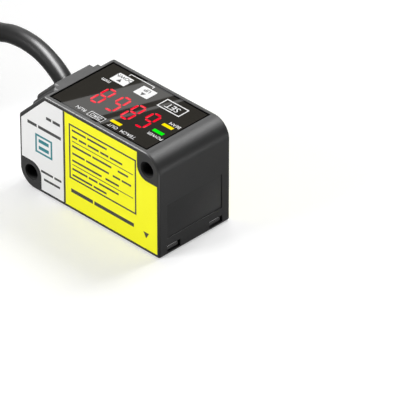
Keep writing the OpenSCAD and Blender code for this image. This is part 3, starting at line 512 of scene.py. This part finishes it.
frontPrint = printLayer("frontPrint", frontFace, boxedPrint(yellowPrint["lines"]) + [yellowPrint["seam"]],
                        signs=[(*yellowPrint["beamSign"], math.pi)])
rearLines = turnedLines(yellowPrint["lines"]) + yellowPrint["rearLines"]
rearPrint = printLayer("rearPrint", rearFace, boxedPrint(rearLines),
                       signs=[(*yellowPrint["beamSign"], 0)])
serialPrint = printLayer("serialPrint", frontFace, lineBars(whitePrint["lines"]))
patchPrint = printLayer("patchPrint", frontFace, patchBars())
print("stage: label print")

# Film: white key fields, their signs and words, the small legends, and a black border round its edge as
# painted shade in the seam between film and rim
filmPrint = {
    "down": (-9.1, -4.6, 4.5, 7.9), "up": (-1.6, 2.7, 4.4, 7.9), "fieldCorner": 0.25,
    "set": (5.9, 12.7, 4.3, 7.8), "setLine": 0.28, "zero": (-2.5, 2.1, -9.1, -7.3), "zeroLine": 0.14,
    "bracket": [(-6.9, 0.6, 9.0, 9.2), (-6.9, -6.7, 8.4, 9.0), (0.4, 0.6, 8.4, 9.0)],
    "words": [("SET", 9.3, 6.05, 2.5), ("ZERO", -0.2, -8.2, 1.3), ("mm", -9.1, 3.4, 1.7),
              ("OUT", 5.15, -8.35, 1.36), ("RUN", -4.85, -8.25, 1.4), ("TEACH", 9.75, -8.35, 1.4),
              ("POWER", 14.4, -4.6, 1.3), ("BEAM", 14.6, 1.4, 1.3)],
    "keySigns": [(-6.95, 5.45, 0.75, 0), (0.55, 5.35, 0.75, math.pi)],
    "keyWords": [("DOWN", -6.85, 7.05, 1.5), ("UP", 0.55, 6.95, 1.5)],
    "border": (-13.18, 16.98, -9.78, 9.78), "borderLine": 0.36,
}
keyFields = printLayer("keyFields", filmFace, [filmPrint["down"], filmPrint["up"]],
                       corner=filmPrint["fieldCorner"])
legends = filmPrint["bracket"] + frameBars(*filmPrint["set"], filmPrint["setLine"])
legends += frameBars(*filmPrint["zero"], filmPrint["zeroLine"])
filmLegends = printLayer("filmLegends", filmFace, legends, words=filmPrint["words"])
filmFaceTop = dict(filmFace, level=filmFace["level"] + ink["thick"])
keyMarks = printLayer("keyMarks", filmFaceTop, [], signs=filmPrint["keySigns"],
                      words=filmPrint["keyWords"])
# The black border is painted shade for the seam between film and rim
filmSeamShade = printLayer("filmSeamShade", filmFace, frameBars(*filmPrint["border"], filmPrint["borderLine"]))
print("stage: film print")

# Lit digits and lamps: each copied from its part under the film and set just proud of the film's face
glow = {"level": 25.912, "slim": 0.06, "paler": 1.2, "baseTone": 500, "lightTone": 900.0, "strength": 1.0}


def litLayer(name, nodeName, slim=0.0):
    lift = glow["level"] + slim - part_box(nodeName)[1].z / mm
    return redrawn(name, nodeName, lift=lift, slim=slim)


litDigits = litLayer("litDigits", "lit_segments", glow["slim"])
outLamp = litLayer("outLamp", "output_lamp")
powerLamp = litLayer("powerLamp", "power_lamp")
beamLamp = litLayer("beamLamp", "laser_lamp")
print("stage: lit digits and lamps")

# Shared effects
noiseSet = {"grainDetail": 3.0, "toneDetail": 4.0, "span": (0.3, 0.7), "bumpDeep": 0.1}


def newGroup(name, inputs, outputs):
    tree = bpy.data.node_groups.new(name, "ShaderNodeTree")
    for label, kind, value in inputs:
        socket = tree.interface.new_socket(label, in_out="INPUT", socket_type=kind)
        socket.default_value = value
    for label, kind in outputs:
        tree.interface.new_socket(label, in_out="OUTPUT", socket_type=kind)
    return tree, tree.nodes.new("NodeGroupInput"), tree.nodes.new("NodeGroupOutput")


def noiseNodes(tree, given, detail):
    # Noise on Object coordinates, and a spread of the span where most of it lies
    coords = tree.nodes.new("ShaderNodeTexCoord")
    noise = tree.nodes.new("ShaderNodeTexNoise")
    noise.inputs["Detail"].default_value = detail
    tree.links.new(coords.outputs["Object"], noise.inputs["Vector"])
    tree.links.new(given.outputs["Scale"], noise.inputs["Scale"])
    spread = tree.nodes.new("ShaderNodeMapRange")
    spread.inputs["From Min"].default_value, spread.inputs["From Max"].default_value = noiseSet["span"]
    tree.links.new(noise.outputs["Fac"], spread.inputs["Value"])
    return noise, spread


# Fine grain: small bumps and the gloss that changes with them
grainTree, given, taken = newGroup(
    "fineGrain",
    [("Scale", "NodeSocketFloat", 4000.0), ("Smooth", "NodeSocketFloat", 0.3),
     ("Rough", "NodeSocketFloat", 0.5)],
    [("Roughness", "NodeSocketFloat"), ("Height", "NodeSocketFloat")])
noise, spread = noiseNodes(grainTree, given, noiseSet["grainDetail"])
grainTree.links.new(given.outputs["Smooth"], spread.inputs["To Min"])
grainTree.links.new(given.outputs["Rough"], spread.inputs["To Max"])
grainTree.links.new(spread.outputs["Result"], taken.inputs["Roughness"])
grainTree.links.new(noise.outputs["Fac"], taken.inputs["Height"])

# Tone drift: two close colours that run into each other in soft clouds
toneTree, given, taken = newGroup(
    "toneDrift",
    [("Scale", "NodeSocketFloat", 120.0), ("Deep", "NodeSocketColor", (0, 0, 0, 1)),
     ("Pale", "NodeSocketColor", (1, 1, 1, 1))],
    [("Color", "NodeSocketColor")])
noise, spread = noiseNodes(toneTree, given, noiseSet["toneDetail"])
blend = toneTree.nodes.new("ShaderNodeMix")
blend.data_type = "RGBA"
toneTree.links.new(spread.outputs["Result"], blend.inputs["Factor"])
toneTree.links.new(given.outputs["Deep"], blend.inputs["A"])
toneTree.links.new(given.outputs["Pale"], blend.inputs["B"])
toneTree.links.new(blend.outputs["Result"], taken.inputs["Color"])


def groupNode(tree, group, **values):
    node = tree.nodes.new("ShaderNodeGroup")
    node.node_tree = group
    for label, value in values.items():
        node.inputs[label].default_value = value
    return node


def finishMaterial(name, deep, pale, smooth, rough, grain=4000.0, bump=0.05, tone=120.0, **sockets):
    # Two close tones, the least and most roughness, scale and bump of the grain, scale of the tones,
    # and plain shader values
    material = bpy.data.materials.new(name)
    material.use_nodes = True
    tree = material.node_tree
    shader = tree.nodes["Principled BSDF"]
    drift = groupNode(tree, toneTree, Scale=tone, Deep=(*deep, 1), Pale=(*pale, 1))
    tree.links.new(drift.outputs["Color"], shader.inputs["Base Color"])
    texture = groupNode(tree, grainTree, Scale=grain, Smooth=smooth, Rough=rough)
    tree.links.new(texture.outputs["Roughness"], shader.inputs["Roughness"])
    if bump:
        bumpNode = tree.nodes.new("ShaderNodeBump")
        bumpNode.inputs["Strength"].default_value = bump
        bumpNode.inputs["Distance"].default_value = noiseSet["bumpDeep"] * mm
        tree.links.new(texture.outputs["Height"], bumpNode.inputs["Height"])
        tree.links.new(bumpNode.outputs["Normal"], shader.inputs["Normal"])
    for label, value in sockets.items():
        shader.inputs[label.replace("_", " ")].default_value = value
    return material


def glowMaterial(name, base, deep, pale):
    # Lit plastic under a glossy face: its light drifts a little over the surface
    material = finishMaterial(name, base, tuple(v * glow["paler"] for v in base), *filmGloss,
                              **dict(polished, tone=glow["baseTone"]), Emission_Strength=glow["strength"])
    tree = material.node_tree
    drift = groupNode(tree, toneTree, Scale=glow["lightTone"], Deep=(*deep, 1), Pale=(*pale, 1))
    tree.links.new(drift.outputs["Color"], tree.nodes["Principled BSDF"].inputs["Emission Color"])
    return material


def wear(piece, material):
    if piece.material_slots:
        for slot in piece.material_slots:
            slot.material = material
    else:
        piece.data.materials.append(material)


def grey(v):
    return (v, v, v)


# Finishes that several materials share
castGrain = {"grain": 3500, "bump": 0.07, "tone": 90}
labelStock = {"grain": 2500, "bump": 0.03, "tone": 60, "Specular_IOR_Level": 0.2}
inkCoat = {"grain": 3000, "bump": 0.02}
metal = {"grain": 2500, "tone": 300, "Metallic": 1.0}
polished = {"grain": 900, "bump": 0.0, "tone": 90}
filmGloss = (0.01, 0.018)
clear = dict(polished, Transmission_Weight=1.0)

casePaint = finishMaterial("casePaint", grey(0.008), grey(0.011), 0.36, 0.44, **castGrain,
                           Specular_IOR_Level=0.16)
# Painted shade: a near-black, dull paint for the walls and mouths of the screw holes, so they read dark
boreShadePaint = finishMaterial("boreShadePaint", grey(0.002), grey(0.003), 0.7, 0.8, **castGrain,
                           Specular_IOR_Level=0.05)
cableVinyl = finishMaterial("cableVinyl", grey(0.010), grey(0.013), 0.36, 0.41, grain=6000, bump=0.012,
                            tone=150, Specular_IOR_Level=0.1)
bushRubber = finishMaterial("bushRubber", grey(0.010), grey(0.016), 0.5, 0.62, grain=3000, bump=0.1)
yellowLabel = finishMaterial("yellowLabel", (0.93, 0.90, 0.012), (0.96, 0.94, 0.018), 0.42, 0.5,
                             **labelStock)
whiteLabel = finishMaterial("whiteLabel", grey(0.80), grey(0.84), 0.42, 0.5, **labelStock)
printInk = finishMaterial("printInk", grey(0.012), grey(0.02), 0.4, 0.5, **inkCoat)
patchInk = finishMaterial("patchInk", (0.0, 0.16, 0.19), (0.0, 0.19, 0.22), 0.4, 0.5, **inkCoat)
whiteInk = finishMaterial("whiteInk", grey(0.80), grey(0.86), 0.4, 0.5, **inkCoat)
blackPlastic = finishMaterial("blackPlastic", grey(0.010), grey(0.014), 0.45, 0.55)
tieNylon = finishMaterial("tieNylon", grey(0.012), grey(0.02), 0.34, 0.44)
# Mask ink: the real black mask behind the window, and on the clip tab ends as painted shade in the clip
# slots
maskInkAndSlotShade = finishMaterial("maskInkAndSlotShade", grey(0.03), grey(0.04), 0.4, 0.5)
boardGreen = finishMaterial("boardGreen", (0.005, 0.09, 0.035), (0.01, 0.14, 0.06), 0.3, 0.42, grain=1800,
                            bump=0.12, tone=700)
chipEpoxy = finishMaterial("chipEpoxy", grey(0.018), grey(0.028), 0.5, 0.62, grain=5000, bump=0.12)
switchGrey = finishMaterial("switchGrey", grey(0.16), grey(0.2), 0.36, 0.48)
plungerWhite = finishMaterial("plungerWhite", grey(0.68), grey(0.74), 0.36, 0.48)
chipPale = finishMaterial("chipPale", (0.62, 0.6, 0.5), (0.7, 0.68, 0.58), 0.3, 0.4)
capacitorTan = finishMaterial("capacitorTan", (0.33, 0.2, 0.1), (0.4, 0.26, 0.14), 0.35, 0.5)
screwSteel = finishMaterial("screwSteel", grey(0.5), grey(0.6), 0.24, 0.36, bump=0.06, **metal)
clampSteel = finishMaterial("clampSteel", grey(0.46), grey(0.56), 0.28, 0.42, bump=0.06,
                            **dict(metal, grain=2000))
frameBlack = finishMaterial("frameBlack", grey(0.014), grey(0.02), 0.48, 0.6, grain=2500, bump=0.12)
barrelBrass = finishMaterial("barrelBrass", (0.62, 0.42, 0.14), (0.7, 0.5, 0.2), 0.22, 0.34, bump=0.05,
                             **metal)
diodeGold = finishMaterial("diodeGold", (0.8, 0.55, 0.2), (0.86, 0.62, 0.26), 0.16, 0.26, bump=0.03,
                           **metal)
mirrorSilver = finishMaterial("mirrorSilver", grey(0.86), grey(0.9), 0.03, 0.06, bump=0.0, **metal)
flexAmber = finishMaterial("flexAmber", (0.42, 0.17, 0.02), (0.5, 0.22, 0.03), 0.3, 0.42)
coreMixed = finishMaterial("coreMixed", (0.2, 0.12, 0.1), (0.3, 0.2, 0.2), 0.4, 0.5)
tinnedCopper = finishMaterial("tinnedCopper", (0.6, 0.56, 0.5), (0.7, 0.66, 0.6), 0.24, 0.4, bump=0.2,
                              **dict(metal, grain=5000, tone=900))
segmentRed = finishMaterial("segmentRed", (0.03, 0.002, 0.003), (0.04, 0.003, 0.004), 0.4, 0.5)
smokedFilm = finishMaterial("smokedFilm", (0.031, 0.0288, 0.0245), (0.035, 0.0325, 0.0275), *filmGloss,
                            **polished, Specular_IOR_Level=0.5)
# Painted shade: a glossy black for the border that stands in for the dark seam between film and rim
seamShadeInk = finishMaterial("seamShadeInk", grey(0.002), grey(0.003), *filmGloss, **polished)
clearAcrylic = finishMaterial("clearAcrylic", grey(0.86), grey(0.9), 0.015, 0.03, **clear, IOR=1.49)
lensGlass = finishMaterial("lensGlass", (0.93, 0.95, 0.94), (0.95, 0.97, 0.96), 0.01, 0.02, **clear,
                           IOR=1.52)
litRed = glowMaterial("litRed", (0.05, 0.002, 0.004), (0.95, 0.0, 0.022), (1.0, 0.0, 0.03))
lampAmber = glowMaterial("lampAmber", (0.05, 0.03, 0.002), (0.97, 0.76, 0.0), (1.0, 0.84, 0.0))
lampGreen = glowMaterial("lampGreen", (0.002, 0.05, 0.002), (0.0, 0.88, 0.003), (0.0, 0.97, 0.005))

nodeFinish = {
    "window_mask": maskInkAndSlotShade, "window_seal": bushRubber, "display_carrier": blackPlastic,
    "digit_block": blackPlastic, "unlit_segments": segmentRed, "lamp_chips": chipPale,
    "display_board": boardGreen, "main_board": boardGreen, "sensor_board": boardGreen,
    "down_switch": switchGrey, "up_switch": switchGrey, "set_switch": switchGrey,
    "down_plunger": plungerWhite, "up_plunger": plungerWhite, "set_plunger": plungerWhite,
    "board_header": blackPlastic, "signal_chip": chipEpoxy, "driver_chip": chipEpoxy,
    "capacitors": capacitorTan, "board_screws": screwSteel, "frame_screws": screwSteel,
    "optics_frame": frameBlack, "laser_barrel": barrelBrass, "laser_diode": diodeGold,
    "collimator_lens": lensGlass, "receiver_lens": lensGlass, "sensor_glass": lensGlass,
    "laser_flex": flexAmber, "fold_mirror": mirrorSilver, "image_sensor": chipEpoxy,
    "cable_bush": bushRubber, "cable_clamp": clampSteel, "cable_entry": cableVinyl,
    "inner_leads": coreMixed, "lead_tips": tinnedCopper,
}
for nodeName, material in nodeFinish.items():
    wear(nodes[nodeName], material)
pieceFinish = [
    (caseShell, casePaint), (filmSheet, smokedFilm), (windowPane, clearAcrylic), (serialSticker, whiteLabel),
    (frontSticker, yellowLabel), (rearSticker, yellowLabel), (cableJacket, cableVinyl), (hankTies, tieNylon),
    (litDigits, litRed), (outLamp, lampAmber), (beamLamp, lampAmber), (powerLamp, lampGreen),
    (frontPrint, printInk), (serialPrint, printInk), (rearPrint, printInk), (keyMarks, printInk),
    (patchPrint, patchInk), (filmSeamShade, seamShadeInk), (keyFields, whiteInk), (filmLegends, whiteInk),
]
for piece, material in pieceFinish:
    wear(piece, material)
for core, coreName in zip(coreCords, cores["names"]):
    tone = cores["tones"][coreName]
    paleTone = tuple(v * cores["paler"] for v in tone)
    wear(core, finishMaterial(coreName + "Insulation", tone, paleTone, 0.36, 0.46))

# Second materials: dull black as painted shade in the screw holes, and dark mask ink on the window plate's
# clip tab ends as painted shade in the clip slots
bores = {"axes": [(18.3, 21.9), (-18.3, 4.1)], "radius": 2.05, "faceOn": 0.95}
# Faces of the window plate past this point, the clip tab ends, get mask ink as painted shade in the slots
tabEndShade = {"endsFrom": 20.9}


def inBore(c, n):
    near = any(math.hypot(c.x - x, c.z - z) < bores["radius"] for x, z in bores["axes"])
    return near and abs(n.y) < bores["faceOn"]


def secondFinish(piece, material, test):
    piece.data.materials.append(material)
    for face in piece.data.polygons:
        if test(face.center / mm, face.normal):
            face.material_index = 1


# The bore walls and their flared mouths get the painted shade
secondFinish(caseShell, boreShadePaint, inBore)
secondFinish(windowPane, maskInkAndSlotShade, lambda c, n: c.x > tabEndShade["endsFrom"])
print("stage: materials")

# Floor, world and lamps
stageSet = {
    "floor": 6.0, "level": -0.05, "floorTones": (0.7, 0.71), "paper": 0.4,  # floor in metres
    "ambient": 0.24, "backdrop": 1.0, "cardPaler": 1.1,
}
matt = {"grain": 60, "bump": 0.0, "tone": 3, "Specular_IOR_Level": 0.0, "Emission_Color": (1, 1, 1, 1)}
bpy.ops.mesh.primitive_plane_add(size=stageSet["floor"], location=(0, 0, stageSet["level"] * mm))
floor = startPiece("studioFloor")
floorDeep, floorPale = stageSet["floorTones"]
paper = finishMaterial("floorPaper", grey(floorDeep), grey(floorPale), 0.85, 0.95, **matt)
wear(floor, paper)


def seenRay(tree):
    # One where the camera, gloss or clear parts look, else zero
    path = tree.nodes.new("ShaderNodeLightPath")
    seen = path.outputs["Is Camera Ray"]
    for kind in ("Is Glossy Ray", "Is Transmission Ray"):
        most = tree.nodes.new("ShaderNodeMath")
        most.operation = "MAXIMUM"
        tree.links.new(seen, most.inputs[0])
        tree.links.new(path.outputs[kind], most.inputs[1])
        seen = most.outputs[0]
    return seen


def seenLevel(tree, low, high, socket):
    level = tree.nodes.new("ShaderNodeMapRange")
    level.inputs["To Min"].default_value = low
    level.inputs["To Max"].default_value = high
    tree.links.new(seenRay(tree), level.inputs["Value"])
    tree.links.new(level.outputs["Result"], socket)


paperShader = paper.node_tree.nodes["Principled BSDF"]
seenLevel(paper.node_tree, 0.0, stageSet["paper"], paperShader.inputs["Emission Strength"])
world = bpy.data.worlds.new("studio")
world.use_nodes = True
scene.world = world
background = world.node_tree.nodes["Background"]
background.inputs["Color"].default_value = (1, 1, 1, 1)
seenLevel(world.node_tree, stageSet["ambient"], stageSet["backdrop"], background.inputs["Strength"])

lamps = {  # places, aims and sizes in metres
    "keyBox": {"place": (0.03, 0.55, 0.65), "aim": (0, 0, 0.01), "size": (0.3, 0.4), "power": 4.2},
    "frontBox": {"place": (-0.35, -0.8, 0.38), "aim": (0, 0, 0.01), "size": (0.35, 0.35), "power": 6.1},
    "rimBox": {"place": (-0.56, 0.565, 0.56), "aim": (0, 0, 0.02), "size": (0.6, 0.6), "power": 2.7},
    "sheenBox": {"place": (0.051, 0.12, 0.188), "aim": (0.02, 0, 0.024), "size": (0.163, 0.084),
                 "power": 0.48},
    "cordBox": {"place": (0.14, -0.08, 0.8), "aim": (-0.03, 0, 0.025), "size": (0.45, 1.1), "power": 175.0,
                "glossOnly": True},
    "topBox": {"place": (-0.125, 0.027, 0.147), "aim": (0, -0.006, 0.026), "size": (0.12, 0.12),
               "power": 0.22},
    "edgeBox": {"place": (-0.52, -0.27, 0.72), "aim": (0, -0.01, 0.025), "size": (0.3, 0.3), "power": 40.0},
}
lampLights = {}
for lampName, lamp in lamps.items():
    toward = Vector(lamp["aim"]) - Vector(lamp["place"])
    bpy.ops.object.light_add(type="AREA", location=lamp["place"],
                             rotation=toward.to_track_quat("-Z", "Y").to_euler())
    light = bpy.context.object
    light.name = lampName
    light.data.shape = "RECTANGLE"
    light.data.size, light.data.size_y = lamp["size"]
    light.data.energy = lamp["power"]
    light.visible_camera = False
    light.visible_diffuse = not lamp.get("glossOnly", False)
    lampLights[lampName] = light
# Three lamps light only the case, and the cord lamp only the cable and its bush
litAlone = {
    "sheenBox": [caseShell], "topBox": [caseShell], "edgeBox": [caseShell],
    "cordBox": [cableJacket, nodes["cable_bush"]],
}
for lampName, pieces in litAlone.items():
    group = bpy.data.collections.new(lampName + "Parts")
    for piece in pieces:
        group.objects.link(piece)
    lampLights[lampName].light_linking.receiver_collection = group


def cardPaint(name, tone, cardGlow):
    paler = tone * stageSet["cardPaler"]
    return finishMaterial(name, grey(tone), grey(paler), 0.9, 1.0, **matt, Emission_Strength=cardGlow)


def glossCard(name, corners, paint):
    # A flat card that only gloss sees, its corners moved to their places
    bpy.ops.mesh.primitive_plane_add()
    card = startPiece(name)
    for vertex, corner in zip(card.data.vertices, corners):
        vertex.co = corner * mm
    wear(card, paint)
    card.visible_camera = card.visible_diffuse = card.visible_shadow = card.visible_transmission = False


# Flags that the film mirrors towards the camera: dark ones, with a pale card in the gaps between them.
# Each is drawn where it shows on the film, and then thrown out along the mirrored sight lines
flags = {"away": 200.0, "behind": 4.0, "tone": 0.012, "paleTone": 0.01, "glow": 1.3}
flagShapes = {
    "darkFlag1": [(-33.7, 7.4), (-6.1, 34.7), (-11.6, -15.0), (3.5, 25.1)],
    "darkFlag2": [(-4.6, -22.0), (9.1, 19.4), (-3.2, -23.4), (10.7, 17.8)],
    "darkFlag3": [(-2.3, -24.3), (11.4, 17.1), (3.9, -30.6), (31.5, -3.2)],
    "paleCard": [(-33.7, 7.4), (-6.1, 34.7), (3.9, -30.6), (31.5, -3.2)],
}
filmLevel = filmFace["level"]
mirrorEye = camera.location / mm
mirrorEye.z = 2 * filmLevel - mirrorEye.z


def thrownOut(place, away):
    onFilm = Vector((*place, filmLevel))
    return onFilm + (onFilm - mirrorEye).normalized() * away


flagPaint = cardPaint("flagPaint", flags["tone"], 0.0)
palePaint = cardPaint("cardPaint", flags["paleTone"], flags["glow"])
for flagName, shape in flagShapes.items():
    pale = flagName == "paleCard"
    away = flags["away"] + (flags["behind"] if pale else 0)
    glossCard(flagName, [thrownOut(place, away) for place in shape], palePaint if pale else flagPaint)

# Pale cards on the floor that light the near upright edge and the top of the beam end.
# Near and far give the reach from the foot and half the width there
floorCards = {
    "edgeCard": {"foot": (22.0, -11.0), "toward": (1.0, -1.0), "near": (20.0, 16.0), "far": (80.0, 45.0),
                 "level": 0.1, "tone": 0.01, "glow": 7.0},
    "bandCard": {"foot": (22.0, -16.0), "toward": (0.81, 0.59), "near": (95.0, 12.0), "far": (260.0, 24.0),
                 "level": 0.1, "tone": 0.01, "glow": 17.0},
}
for cardName, card in floorCards.items():
    outward = Vector((*card["toward"], 0)).normalized()
    across = Vector((-outward.y, outward.x, 0))
    foot = Vector((*card["foot"], card["level"]))
    corners = [foot + outward * reach + across * half * side
               for reach, half in (card["near"], card["far"]) for side in (-1, 1)]
    glossCard(cardName, corners, cardPaint(cardName + "Paint", card["tone"], card["glow"]))
print("stage: floor, world and lamps")
